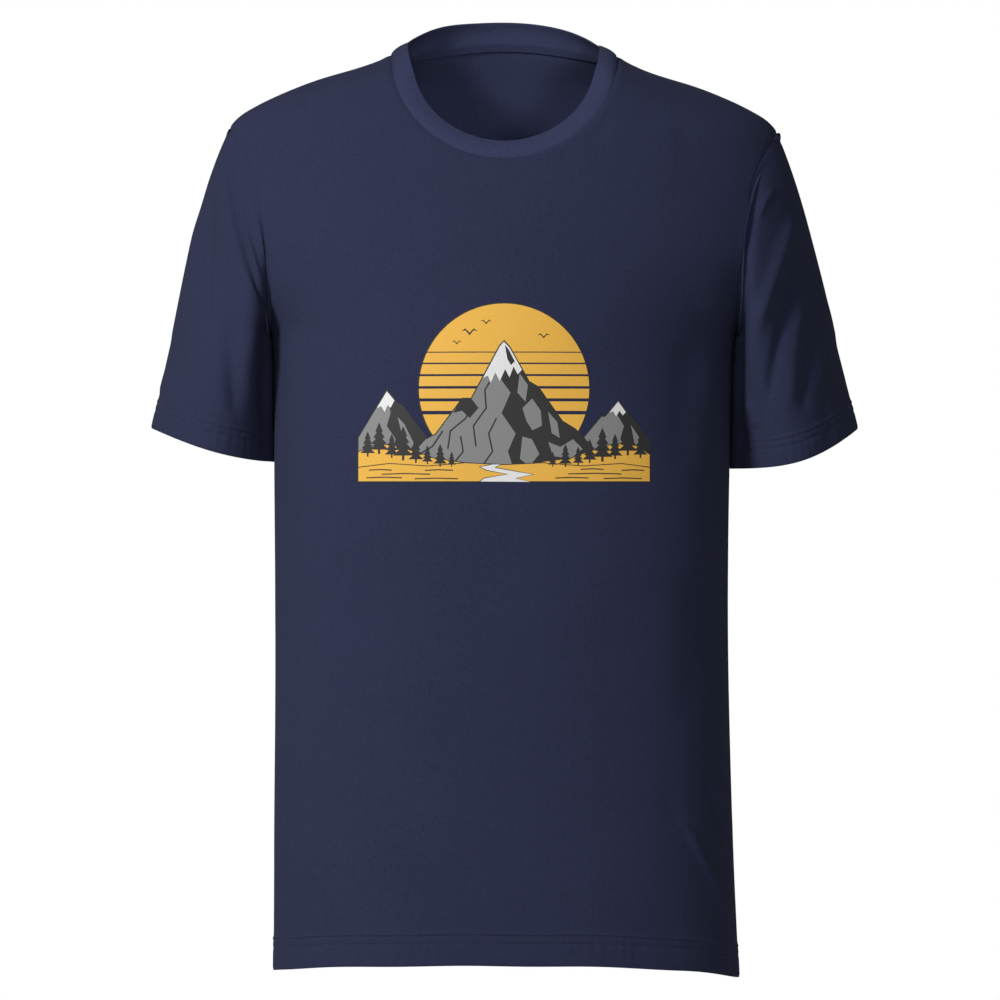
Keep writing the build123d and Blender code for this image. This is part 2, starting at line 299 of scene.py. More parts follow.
def thick(outer, inner, faces, edge):
    """Points and faces of a closed sheet, from its outer and inner points and its rim's point order."""
    n = len(outer)
    back = [[i + n for i in reversed(f)] for f in faces]
    rim = [[a, a + n, b + n, b] for a, b in zip(edge, np.roll(edge, -1).tolist())]
    return np.vstack([outer, inner]), faces + back + rim


# The body's level sections, measured along the cloth from the middle of the panel
LEVELS = np.arange(-745.0, 28.0, 1.0)
SHARES = np.linspace(-math.pi / 2, math.pi / 2, 721)


def section_tables(middle):
    """Cloth length from the panel's middle for each height and turn, and the heights' own scale."""
    t, z = np.meshgrid(middle + SHARES, LEVELS)
    p = body_at(t, z)
    step = np.linalg.norm(np.diff(p, axis=1), axis=-1)
    length = np.concatenate([np.zeros((len(LEVELS), 1)), np.cumsum(step, axis=1)], axis=1)
    length -= length[:, 360:361]
    slope = np.gradient(half_width(LEVELS), LEVELS)
    rise = np.sqrt(1 + (0.5 * slope) ** 2)
    scale = np.concatenate([[0], np.cumsum((rise[1:] + rise[:-1]) / 2)])
    return length, scale


def bilinear(table, row, col):
    r = np.clip(row, 0, table.shape[0] - 1.001)
    c = np.clip(col, 0, table.shape[1] - 1.001)
    i, j = r.astype(int), c.astype(int)
    a, b = r - i, c - j
    top = table[i, j] * (1 - b) + table[i, j + 1] * b
    low = table[i + 1, j] * (1 - b) + table[i + 1, j + 1] * b
    return top * (1 - a) + low * a


class Panel:
    """Maps between the cloth of one panel, flat, and the body's surface."""

    def __init__(self, middle):
        self.middle = middle
        self.length, self.scale = section_tables(middle)
        even = np.linspace(-1, 1, 721)
        ends = np.minimum(-self.length[:, 0], self.length[:, -1])
        self.ends = ends
        self.turns = np.array([np.interp(even * e, row, SHARES) for e, row in zip(ends, self.length)])

    def flat(self, turn, z):
        u = bilinear(self.length, z - LEVELS[0], (turn - self.middle + math.pi / 2) / math.pi * 720)
        return np.stack([u, np.interp(z, LEVELS, self.scale)], -1)

    def shape(self, uv):
        z = np.interp(uv[..., 1], self.scale, LEVELS)
        end = np.interp(z, LEVELS, self.ends)
        turn = bilinear(self.turns, z - LEVELS[0], (uv[..., 0] / end + 1) * 360) + self.middle
        return turn, z


def run_length(points):
    """Length along a polyline at each of its points."""
    return np.concatenate([[0], np.cumsum(np.linalg.norm(np.diff(points, axis=0), axis=1))])


def interp_points(at, d, points):
    """Values at the lengths in at, for a polyline whose points are at the lengths d."""
    return np.stack([np.interp(at, d, column) for column in points.T], -1)


def resample(points, step):
    """Points along a polyline, about one step apart, with both ends kept."""
    points = np.asarray(points, float)
    d = run_length(points)
    n = max(2, int(round(d[-1] / step)) + 1)
    return interp_points(np.linspace(0, d[-1], n), d, points)


def panel_border(front):
    """The panel's edges as (turn, height) points: hem, side, armhole, shoulder, neck, and back down."""
    start = math.pi if front else 0.0
    low, high = start + EDGE, start + math.pi - EDGE
    t = np.linspace(low, high, 400)
    hem = np.stack([t, hem_z(t)], -1)
    around = np.linspace(math.pi, 0, 200)
    turn, z = armhole_turn(around)
    turn = np.maximum(np.abs(turn), EDGE)
    high_arm = np.stack([start + math.pi - turn, z], -1)
    low_arm = np.stack([start + turn, z], -1)
    share = np.linspace(0, 1, 200)
    up = np.linspace(-SHOULDER_DROP, 0, 120)

    def side_and_shoulder(at):
        side = np.stack([0 * share + at, between(hem_z(np.array(at)), UNDERARM, share)], -1)
        return side, np.stack([0 * up + at, up], -1)

    high_side, high_shoulder = side_and_shoulder(high)
    low_side, low_shoulder = side_and_shoulder(low)
    neck = np.stack([t[::-1], neck_z(t[::-1])], -1)
    rising = [hem, high_side, high_arm, high_shoulder, neck]
    return rising + [low_shoulder[::-1], low_arm[::-1], low_side[::-1]]


def inside(points, polygon):
    """Which points lie inside a closed polygon."""
    result = np.zeros(len(points), bool)
    x, y = points[:, 0], points[:, 1]
    for (x0, y0), (x1, y1) in zip(polygon, np.roll(polygon, -1, axis=0)):
        if y0 == y1:
            continue
        cross = (y0 > y) != (y1 > y)
        result ^= cross & (x < (x1 - x0) * (y - y0) / (y1 - y0) + x0)
    return result


def nearest(points, others, chunk=4000):
    """Distance of each point from the nearest of the others."""
    out = np.empty(len(points))
    for i in range(0, len(points), chunk):
        d = points[i:i + chunk, None, :] - others[None, :, :]
        out[i:i + chunk] = np.sqrt((d ** 2).sum(-1).min(1))
    return out


SPACING = 3.5
FINE_FOLD = 6  # Narrower folds get extra points
# Folds as (line in the camera's view, width, height)
FRONT_FOLDS = [
    (pts(149.7, -221.4, 146.5, -261.6, 144.9, -301.9, 148.1, -342.1), 14.0, -2.0),
    (pts(175.5, -181.1, 172.3, -229.4, 170.7, -293.8), 12.0, 1.8),
    (pts(-172.3, -144.9, -167.4, -189.2, -170.7, -237.5), 22.0, -2.8),
    (pts(-91.8, -76.5, -99.8, -132.8, -115.9, -189.2), 40.0, 1.5),
    (pts(-164.2, -293.8, -148.1, -374.3, -140.1, -470.9), 30.0, 1.8),
    (pts(-177.9, -293.8, -175.5, -374.3, -173.9, -454.8), 9.0, -1.5),
    (pts(144.9, -617.4, 157.8, -640.0, 170.7, -665.7, 183.5, -697.9), 4.2, 2.4),
    (pts(157.8, -630.3, 170.7, -656.1, 181.9, -684.2), 4.2, -1.6),
    (pts(161.8, -575.6, 167.4, -599.7, 175.5, -627.9), 3.4, -2.0),
    (pts(169.1, -579.6, 175.5, -603.8, 181.9, -631.9), 3.2, 1.4),
    (pts(128.8, -591.7, 135.2, -606.2, 141.7, -622.3), 6.0, -1.1),
    (pts(157.8, -406.5, 156.2, -470.9, 149.7, -551.4), 16.0, -2.0),
    (pts(-166.6, -567.5, -169.1, -615.8, -164.2, -664.1), 5.0, -1.2),
    (pts(-159.4, -591.7, -157.8, -631.9, -161.8, -672.2), 5.0, 1.1),
    (pts(-180.3, -640.0, -177.1, -672.2, -173.9, -704.4), 4.0, -1.2),
    (pts(12.9, -406.5, -3.2, -519.2, -27.4, -680.2), 60.0, 2.0),
    (pts(85.3, -406.5, 93.4, -519.2, 109.5, -680.2), 46.0, -2.2),
    (pts(77.3, -52.3, 109.5, -64.4, 149.7, -68.4), 16.0, 1.1),
    (pts(203.7, -104.7, 196.4, -140.9, 191.6, -197.2), 4.0, 1.9),
]
BACK_FOLDS = [
    (pts(-120, -200, -100, -400, -120, -650), 40, -3.0),
    (pts(110, -220, 90, -420, 110, -640), 42, -3.0),
    (pts(0, -120, -10, -300, 8, -500), 60, -2.5),
    (pts(-175, -180, -140, -250, -100, -300), 14, -2.4),
    (pts(175, -180, 140, -260, 96, -320), 14, -2.4),
    (pts(40, -560, 20, -640, 30, -730), 22, 2.0),
    (pts(-60, -540, -70, -640, -56, -730), 20, 1.6),
]


def hem_pucker(p, lift):
    """Fine ripples that a sewn hem draws across its own band."""
    x = p[..., 0] + 0.4 * p[..., 1]
    wave = np.sin(x / 1.35 + 1.3 * np.sin(x / 9)) * (0.5 + 0.5 * np.sin(x / 23))
    wave += 0.7 * np.sin(x / 4.1 + 2)
    return 0.13 * wave * ease(lift, -1, 7) * ease(-lift, -28, -18)


def stitch_grooves(lift, lines):
    """How far rows of stitches pull the cloth in, at a height above the hem."""
    top = lines[-1]
    ridge = 0.55 * np.exp(-((lift - top - 2.4) / 1.3) ** 2)
    return ridge - sum(0.6 * np.exp(-((lift - at) / 0.8) ** 2) for at in lines)


HEM_LINES = (17.0, 23.0)
HEM_ROWS = (4.0, 7.0, 10.0, 13.0, 16.2, 17.0, 17.8, 20.0, 22.2, 23.0, 23.8, 24.6, 25.5, 26.6, 28.0)
GRID_FOOT = 29.5
SLEEVE_LINES = (14.5, 20.3)


def panel_surface(front, turn, z):
    """The outer points of a panel after folds, hem and seams."""
    p = body_at(turn, z)
    normal = body_normal(turn, z)
    shift = fold_height(p, FRONT_FOLDS if front else BACK_FOLDS)
    shift *= ease(np.abs(np.sin(turn)), 0.0, 0.25)
    lift = z - hem_z(turn)
    shift += hem_pucker(p, lift) + stitch_grooves(lift, HEM_LINES)
    shift += 0.6 * ease(-lift, -HEM - 0.4, -HEM + 0.6) * ease(lift, -1, 2)
    return p, normal, shift, lift


def build_panel(front):
    """One panel as a closed sheet, with its turned-up hem."""
    panel = Panel(1.5 * math.pi if front else 0.5 * math.pi)
    edges = panel_border(front)
    border = []
    for i, edge in enumerate(edges):
        pts = resample(panel.flat(edge[:, 0], edge[:, 1]), 3.0 if i not in (3, 5) else 2.0)
        border.append(pts[:-1])
    loop = np.vstack(border)
    rows = []
    dense = resample(np.vstack([loop, loop[:1]]), 0.6)[:-1]
    forward = np.roll(loop, -1, axis=0) - np.roll(loop, 1, axis=0)
    outward = unit(np.stack([forward[:, 1], -forward[:, 0]], -1))
    for d in (0.9, 1.9, 3.2):
        inner = loop - outward * d
        keep = nearest(inner, dense) > 0.93 * d
        rows.append(inner[keep & inside(inner, loop)])
    t = np.linspace(edges[0][0, 0] + 0.03, edges[0][-1, 0] - 0.03, 330)
    for lift in HEM_ROWS:
        rows.append(panel.flat(t, hem_z(t) + lift))
    fixed = np.vstack([loop] + rows)
    lo, hi = loop.min(0), loop.max(0)
    ys = np.arange(lo[1], hi[1], SPACING * 0.866)
    xs = np.arange(lo[0], hi[0], SPACING)
    gx, gy = np.meshgrid(xs, ys)
    gx = gx + (np.arange(len(ys)) % 2)[:, None] * SPACING / 2
    grid = np.stack([gx.ravel(), gy.ravel()], -1)
    grid = grid[inside(grid, loop)]
    if front:
        fx, fy = np.meshgrid(np.arange(lo[0], hi[0], 1.5), np.arange(lo[1], hi[1], 1.5))
        extra = np.stack([fx.ravel(), fy.ravel()], -1)
        extra = extra[inside(extra, loop)]
        turn, z = panel.shape(extra)
        q = seen(body_at(turn, z))
        close_to = np.zeros(len(extra), bool)
        for line, width, _ in FRONT_FOLDS:
            if width < FINE_FOLD:
                close_to |= along_line(q, smooth_line(line))[0] < 2.0 * width
        extra = extra[close_to & (z - hem_z(turn) > GRID_FOOT)]
        grid = grid[nearest(grid, extra) > 1.2]
        grid = np.vstack([grid, extra])
    far = nearest(grid, loop) > 12
    close = ~far
    grid = np.vstack([grid[far], grid[close][nearest(grid[close], fixed) > 0.5 * SPACING]])
    turn, z = panel.shape(grid)
    grid = grid[z - hem_z(turn) > GRID_FOOT]
    cloud = np.vstack([fixed, grid])
    n = len(loop)
    ring = [(i, (i + 1) % n) for i in range(n)]
    out = delaunay_2d_cdt([tuple(map(float, c)) for c in cloud], ring, [list(range(n))], 1, 1e-4)
    flat = np.array([tuple(v) for v in out[0]])
    faces = [list(f) for f in out[2]]
    origin = {min(src): i for i, src in enumerate(out[3]) if src}
    rim = [origin[i] for i in range(n)]
    turn, z = panel.shape(flat)
    p, normal, shift, lift = panel_surface(front, turn, z)
    edge_near = nearest(flat, dense) < 14

    def distance_from(line):
        d = np.full(len(p), 99.0)
        d[edge_near] = nearest(p[edge_near], body_at(*panel.shape(resample(line, 1.0))))
        return d

    seam = np.vstack(border[1:] + [border[0][:1]])
    shift -= 0.55 * np.exp(-(distance_from(seam) / 1.5) ** 2)
    shift += 0.35 * np.exp(-((distance_from(border[4]) - 4.5) / 2.2) ** 2)
    outer = p + normal * shift[:, None]
    depth = CLOTH + 0.8 * ease(-lift, -HEM - 0.1, -HEM + 0.4)
    inner = outer - normal * depth[:, None]
    return outer, inner, faces, rim, flat, len(border[0])


def rounded_rim(outer, inner, rim, hem_count):
    """Extra points that round the fold along the hem, and the faces of the whole rim."""
    n = len(outer)
    extra = []
    faces = []
    hem = rim[:hem_count + 1]
    mids = []
    for k in range(1, 4):
        a = math.pi * k / 4
        c = (outer[hem] + inner[hem]) / 2
        h = (outer[hem] - inner[hem]) / 2
        pts = c + h * math.cos(a)
        pts[:, 2] -= np.linalg.norm(h, axis=1) * math.sin(a)
        mids.append(list(range(2 * n + len(extra), 2 * n + len(extra) + len(hem))))
        extra += pts.tolist()
    chains = [list(hem)] + mids + [[i + n for i in hem]]
    for a, b in zip(chains, chains[1:]):
        faces += [[a[i], b[i], b[i + 1], a[i + 1]] for i in range(len(hem) - 1)]
    for end in (0, len(hem) - 1):
        cap = [c[end] for c in chains]
        faces.append(cap if end else cap[::-1])
    rest = rim[hem_count:] + rim[:1]
    faces += [[a, a + n, b + n, b] for a, b in zip(rest, rest[1:])]
    return np.array(extra), faces


def make_panel(name, front, node_list):
    outer, inner, faces, rim, flat, hem_count = build_panel(front)
    surface = BVHTree.FromPolygons(outer.tolist(), faces)
    extra, rim_faces = rounded_rim(outer, inner, rim, hem_count)
    n = len(outer)
    back = [[i + n for i in reversed(f)] for f in faces]
    hem = rim[:hem_count + 1]
    verts = np.vstack([outer, inner, extra])
    uv = np.vstack([flat, flat, np.vstack([flat[hem]] * 3)])
    obj = new_mesh(name, verts, faces + back + rim_faces, uv)
    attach(obj, "root")
    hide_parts(*node_list)
    return obj, surface


# Millimetres of cloth in one radian round a sleeve
SLEEVE_GIRTH = 62
SLEEVE_SHAPES = {
    1: {"sag": 7.5, "out": (286.5, -300.0), "inner": (186.0, -332.5), "leave": 0.38},
    -1: {"sag": 2.0, "out": (285.5, -299.5), "inner": (185.5, -327.0), "leave": 0.43},
}


def sleeve_hem_point(around, side):
    s = SLEEVE_SHAPES[side]
    across = (1 + np.cos(around)) / 2
    y = 72 * np.sin(around)
    x = between(s["inner"][0], s["out"][0], across) - 0.25 * y * (1 - across)
    sag = s["sag"] * np.maximum(0, -np.sin(around)) ** 2
    z = between(s["inner"][1], s["out"][1], across) - sag
    return np.stack([side * x, y + 16, z], -1)


def sleeve_at(around, down, side):
    """The outer surface of a sleeve, with down from 0 at the armhole to 1 at the hem."""
    start = armhole(around, side)
    end = sleeve_hem_point(around, side)
    top = (1 + np.cos(around)) / 2
    zero = 0 * top
    lean_out = SLEEVE_SHAPES[side]["leave"]
    leave = unit(np.stack([side * between(0.02, lean_out, top), zero, -between(1.0, 0.90, top)], -1))
    arrive = unit(np.stack([side * between(0.0, 0.25, top), zero, zero - 1], -1))
    reach = np.linalg.norm(end - start, axis=-1)[..., None]
    d = down[..., None]
    s2, s3 = d * d, d * d * d
    p = start * (2 * s3 - 3 * s2 + 1) + leave * reach * (s3 - 2 * s2 + d)
    p = p + end * (3 * s2 - 2 * s3) + arrive * reach * (s3 - s2)
    # The sleeve turns outwards below the armhole, so that its front faces a little to the side
    middle = side * (p[..., 0] - between(start[..., 0], end[..., 0], 0.5)) + 50 * np.cos(around)
    p[..., 1] += 0.34 * np.clip(middle, -50, 50) * ease(down, 0.0, 0.4)
    # Below the armhole its inner side lies against the body
    z = p[..., 2]
    n = section_power(z)
    depth = np.where(p[..., 1] > 0, back_depth(z), front_depth(z))
    share = np.minimum(np.abs(p[..., 1]) / depth, 0.999)
    gap = side * (p[..., 0] - lean(z)) - half_width(z) * (1 - share ** n) ** (1 / n)
    pressed = 0.6 + (gap - 0.6) * ease(gap, 1.5, 10)
    p[..., 0] += side * (pressed - gap) * ease(-z, -UNDERARM - 4, -UNDERARM + 4)
    return p


def sleeve_normal(a, down, side):
    """A sleeve's outward direction."""
    du = sleeve_at(a + STEP, down, side) - sleeve_at(a - STEP, down, side)
    dv = sleeve_at(a, down + STEP, side) - sleeve_at(a, down - STEP, side)
    return unit(np.cross(dv, du)) * side


LEFT_FOLDS = [
    (pts(235.1, -120.8, 227.0, -148.9, 214.9, -185.2, 199.6, -233.5), 5.5, 4.0),
    (pts(212.5, -76.5, 203.7, -104.7, 196.4, -144.9, 190.8, -197.2, 189.2, -253.6, 187.6, -309.9), 5.0,
        -4.5),
    (pts(219.0, -104.7, 210.9, -116.7, 204.5, -132.8), 2.6, 1.5),
    (pts(238.3, -148.9, 231.8, -189.2, 220.6, -237.5, 210.1, -293.8), 5.5, -3.5),
    (pts(243.1, -189.2, 235.9, -221.4, 231.8, -261.6, 227.0, -293.8), 5.5, 2.0),
    (pts(247.9, -185.2, 247.1, -221.4, 243.1, -261.6, 240.7, -293.8), 4.5, -2.8),
    (pts(256.0, -197.2, 257.6, -237.5, 256.0, -277.7), 6.0, 1.8),
    (pts(266.5, -221.4, 268.9, -253.6, 272.1, -281.8), 5.0, -1.2),
    (pts(193.2, -277.7, 199.6, -285.8, 203.7, -301.9), 3.4, 2.0),
    (pts(191.6, -297.9, 193.2, -309.9, 194.8, -322.0), 3.4, -2.0),
]
RIGHT_FOLDS = [
    (pts(-227.0, -76.5, -221.4, -97.4, -214.9, -132.8, -204.5, -170.7, -187.6, -209.3), 2.6, -3.5),
    (pts(-216.5, -104.7, -211.7, -120.8, -204.5, -144.9, -194.8, -174.7), 2.4, -2.3),
    (pts(-219.0, -94.2, -212.5, -120.8, -204.5, -148.9, -194.8, -185.2), 2.2, 1.5),
    (pts(-204.5, -120.8, -194.8, -144.9, -190.0, -166.6), 3.0, 1.8),
    (pts(-228.6, -92.6, -223.8, -128.8, -214.1, -165.0, -199.6, -197.2), 6.0, 1.6),
    (pts(-233.5, -108.7, -237.5, -144.9, -239.1, -189.2, -236.7, -229.4), 4.5, -3.2),
    (pts(-244.7, -116.7, -247.9, -157.0, -251.2, -197.2, -256.0, -245.5), 8.0, 1.4),
    (pts(-227.0, -165.0, -229.4, -205.3, -231.8, -245.5, -227.0, -277.7), 7.0, 1.8),
    (pts(-219.0, -197.2, -220.6, -237.5, -217.4, -273.7, -214.1, -297.9), 6.0, -3.0),
    (pts(-204.5, -221.4, -206.9, -253.6, -202.9, -285.8), 6.0, 1.6),
    (pts(-188.4, -197.2, -191.6, -229.4, -193.2, -261.6, -191.6, -301.9), 5.0, -3.5),
    (pts(-264.0, -221.4, -260.8, -253.6, -256.0, -277.7), 6.0, -1.6),
    (pts(-276.9, -273.7, -268.9, -261.6, -257.6, -255.2), 6.0, 1.1),
]


def sleeve_surface(a, down, lift, reach, side):
    """Outer points of a sleeve with its folds, hem and seams, and the normals under them."""
    p = sleeve_at(a, down, side)
    normal = sleeve_normal(a, down, side)
    facing = ease(-normal[..., 1], -0.35, 0.15)
    folds = fold_height(p, LEFT_FOLDS if side > 0 else RIGHT_FOLDS) * facing
    behind = [([(side * 235, -120), (side * 240, -200), (side * 225, -300)], 14, -3)]
    behind += [([(side * 212, -150), (side * 206, -220), (side * 208, -290)], 10, -2)]
    back = fold_height(p * [1, -1, 1], behind)
    from_seam = down * reach
    shift = (folds + back * (1 - facing)) * ease(from_seam, 0, 6)
    shift *= ease(np.abs(np.abs(a) - math.pi), 0.02, 0.35)
    band = ease(-lift, -SLEEVE_HEM - 0.6, -SLEEVE_HEM + 0.6) * ease(lift, -1, 2)
    shift += stitch_grooves(lift, SLEEVE_LINES) + 0.6 * band
    x = a * SLEEVE_GIRTH
    shift += 0.14 * np.sin(x / 1.5 + 1.2 * np.sin(x / 8)) * ease(-lift, -26, -17) * ease(lift, -1, 6)
    # The sleeve is drawn in along its seam, and most of all at the shoulder point
    point = np.exp(-(a / 0.4) ** 2)
    shift -= (0.5 + 1.4 * point) * np.exp(-(from_seam / (1.5 + 4.0 * point)) ** 2)
    return p + normal * shift[..., None], normal, shift


def build_sleeve(side):
    """A sleeve as a closed sheet, with its turned-up hem."""
    fine = 1.75
    cols = int(400 / fine)
    a = np.linspace(-math.pi + 0.004, math.pi - 0.004, cols)
    # Even steps from the armhole to the top of the hem band, then rows that hold the stitches
    body_rows = np.concatenate([[0.0012, 0.006, 0.013, 0.022], np.linspace(0.035, 1, int(235 / fine))])
    hem_rows = [24.6, 23.6, 22.7, 22.0, 21.1, 20.3, 19.5, 17.4, 15.3]
    hem_rows += [14.5, 13.7, 11, 8, 5, 2.5, 1.0, 0.3]
    reach = np.linalg.norm(sleeve_hem_point(a, side) - armhole(a, side), axis=-1)
    top = 1 - 25.8 / reach
    downs = [r * top for r in body_rows] + [1 - h / reach for h in hem_rows]
    lifts = [(1 - d) * reach for d in downs]
    outer, inner = [], []
    for down, lift in zip(downs, lifts):
        points, normal, _ = sleeve_surface(a, down, lift, reach, side)
        depth = CLOTH + 0.8 * ease(-lift, -SLEEVE_HEM - 0.1, -SLEEVE_HEM + 0.4)
        outer.append(points)
        inner.append(points - normal * depth[:, None])
    outer, inner = np.array(outer), np.array(inner)
    fold = []
    for k in range(1, 4):
        ang = math.pi * k / 4
        c = (outer[-1] + inner[-1]) / 2
        h = (outer[-1] - inner[-1]) / 2
        down_dir = unit(outer[-1] - outer[-4])
        half = np.linalg.norm(h, axis=1)[:, None]
        fold.append(c + h * math.cos(ang) + down_dir * half * math.sin(ang))
    # Two rows under the panel's edge, so that no light passes through the seam
    normal, into = armhole_frame(a, side)
    seam = armhole(a, side)
    tuck = np.array([seam + into * 2.2 - normal * 1.9, seam + into * 0.9 - normal * 1.5])
    tuck_in = np.array([seam + into * 2.2 - normal * 2.5, seam + into * 0.7 - normal * 2.1])
    outer = np.concatenate([tuck, outer])
    inner = np.concatenate([tuck_in, inner])
    lifts = [lifts[0] + 3, lifts[0] + 1.5] + lifts
    sheet = np.concatenate([outer, np.array(fold), inner[::-1]])
    n_rows = len(sheet)
    verts = sheet.reshape(-1, 3)
    flip = side > 0
    # Close the sheet along the armhole and along both edges of the underarm seam
    last = (n_rows - 1) * cols
    closing = [[c, last + c, last + c + 1, c + 1] for c in range(cols - 1)]
    count = len(outer)
    for c in (0, cols - 1):
        for r in range(count - 1):
            a0, a1 = r * cols + c, (r + 1) * cols + c
            b0, b1 = (n_rows - 1 - r) * cols + c, (n_rows - 2 - r) * cols + c
            closing.append([a0, a1, b1, b0] if c == 0 else [a0, b0, b1, a1])
        cap = [(count - 1 + k) * cols + c for k in range(5)]
        closing.append(cap if c == 0 else cap[::-1])
    faces = grid_faces(n_rows, cols, flip=flip) + [f[::-1] if flip else f for f in closing]
    v = [-lift for lift in lifts] + [np.zeros(cols)] * 3 + [-lift for lift in lifts[::-1]]
    u = np.broadcast_to(a * SLEEVE_GIRTH, (n_rows, cols))
    uv = np.stack([u.ravel(), np.array(v).ravel()], -1)
    return verts, faces, uv


def make_sleeve(side):
    name = "left" if side > 0 else "right"
    verts, faces, uv = build_sleeve(side)
    obj = new_mesh("sleeve_cloth_" + name, verts, faces, uv)
    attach(obj, "root")
    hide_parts("sleeve_" + name, "sleeve_hem_" + name)
    return obj


def collar_at(turn, up):
    """The collar band's outer surface, with up from 0 at its seam to 1 at its folded edge."""
    start = body_at(turn, neck_z(turn))
    ahead = body_at(turn + 2e-3, neck_z(turn + 2e-3))
    behind = body_at(turn - 2e-3, neck_z(turn - 2e-3))
    tangent = unit(ahead - behind)
    c, s = np.cos(turn), np.sin(turn)
    tilt = between(0.30, 0.54, ease(-s, -0.25, 0.25))
    climb = np.sqrt(1 - tilt ** 2)
    climb_side = 0.52 + 0.10 * ease(-c, 0.6, 1.0)
    rise = np.stack([-0.87 * c, -tilt * s, between(climb_side, climb, np.abs(s) ** 1.4)], -1)
    rise = unit(rise - tangent * (rise * tangent).sum(-1)[..., None])
    out = np.stack([c, s, 0.4 + 0 * c], -1)
    bulge = 1.5 * np.sin(math.pi * np.maximum(up, 0))
    point = start + rise * (RIB_WIDTH * up)[..., None] + out * bulge[..., None]
    x = point[..., 0]
    lift = 3.2 * np.exp(-((x + 58) / 28) ** 2) - 2.2 * np.exp(-((np.abs(x) - 88) / 14) ** 2)
    point[..., 2] += lift * np.maximum(up, 0) * ease(s, 0.0, 0.4)
    return point, rise, tangent


def make_collar():
    """The rib collar band: a folded band with fine vertical ribs, as a closed ring."""
    ribs = 380
    cols = ribs * 4
    # Even steps along the cloth
    t = np.linspace(0, 2 * math.pi, 4001)
    p = body_at(t, neck_z(t))
    d = run_length(p)
    at = np.linspace(0, d[-1], cols, endpoint=False)
    turn = np.interp(at, d, t)
    phase = np.arange(cols) / cols * ribs * 2 * math.pi
    rib = 0.11 * np.cos(phase) + 0.05 * np.cos(2 * phase)
    half = 0.62
    ups = np.concatenate([[-0.12, 0.0, 0.02, 0.05], np.linspace(0.1, 0.955, 10)])
    rows = []
    for up in ups:
        q, rise, tangent = collar_at(turn, np.full(cols, up))
        normal = unit(np.cross(rise, tangent))
        outward = np.stack([np.cos(turn), np.sin(turn), 0 * turn + 0.3], -1)
        normal *= np.sign((normal * outward).sum(-1))[:, None]
        rows.append((q, normal, rise))
    outer, inner = [], []
    for up, (q, normal, rise) in zip(ups, rows):
        tuck = -1.5 if up < 0 else -0.9 * math.exp(-(up * RIB_WIDTH / 1.3) ** 2)
        outer.append(q + normal * (rib + tuck)[:, None])
        inner.append(q - normal * (2 * half + rib + (0.9 if up < 0 else 0))[:, None])
    q, normal, rise = rows[-1]
    fold = []
    for k in range(1, 6):
        ang = math.pi * k / 6
        over = q - normal * half + normal * (half * math.cos(ang))
        over = over + rise * (half + 0.1) * math.sin(ang)
        fold.append(over + normal * (rib * math.cos(ang))[:, None])
    ring = np.array(outer + fold + inner[::-1])
    n = len(ring)
    verts = ring.reshape(-1, 3)
    faces = grid_faces(n, cols, wrap=True)
    last = (n - 1) * cols
    faces += [[last + c, last + (c + 1) % cols, (c + 1) % cols, c] for c in range(cols)]
    u = np.broadcast_to(at, (n, cols))
    v = np.broadcast_to(np.linspace(0, 2 * RIB_WIDTH, n)[:, None], (n, cols))
    obj = new_mesh("collar_cloth", verts, faces, np.stack([u.ravel(), v.ravel()], -1), sharp=0)
    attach(obj, "root")
    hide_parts("collar_rib")
    return obj


def strip(name, points, normals, thickness, node, width_v):
    """A closed thin strip from a grid of points, with its inner side a thickness below."""
    rows, cols = points.shape[:2]
    outer = points.reshape(-1, 3)
    inner = (points - normals * thickness).reshape(-1, 3)
    faces = grid_faces(rows, cols)
    edge = list(range(cols)) + [r * cols + cols - 1 for r in range(1, rows)]
    edge += [(rows - 1) * cols + c for c in range(cols - 2, -1, -1)]
    edge += [r * cols for r in range(rows - 2, 0, -1)]
    verts, faces = thick(outer, inner, faces, edge)
    d = np.linalg.norm(np.diff(points, axis=1), axis=-1)
    u = np.concatenate([np.zeros((rows, 1)), np.cumsum(d, axis=1)], axis=1)
    v = np.broadcast_to(np.linspace(0, width_v, rows)[:, None], (rows, cols))
    uv = np.stack([u.ravel(), v.ravel()], -1)
    obj = new_mesh(name, verts, faces, np.vstack([uv, uv]))
    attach(obj, "root")
    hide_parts(node)
    return obj


def body_strip(name, turn, z, depth, thickness, node, width):
    p = body_at(turn, z)
    normal = body_normal(turn, z)
    return strip(name, p - normal * depth, normal, thickness, node, width)


def sleeve_strip(kind, side, name, places, depth, turned):
    """A seam allowance inside a sleeve, along rows of (around, down)."""
    rows, normals = [], []
    for a, down in places:
        normal = sleeve_normal(a, down, side)
        rows.append(sleeve_at(a, down, side) - normal * depth)
        normals.append(normal)
    if turned:
        rows, normals = rows[::-1], normals[::-1]
    title, node = kind + "_allowance_" + name, kind + "_seam_" + name
    return strip(title, np.array(rows), np.array(normals), 1.1, node, 6)


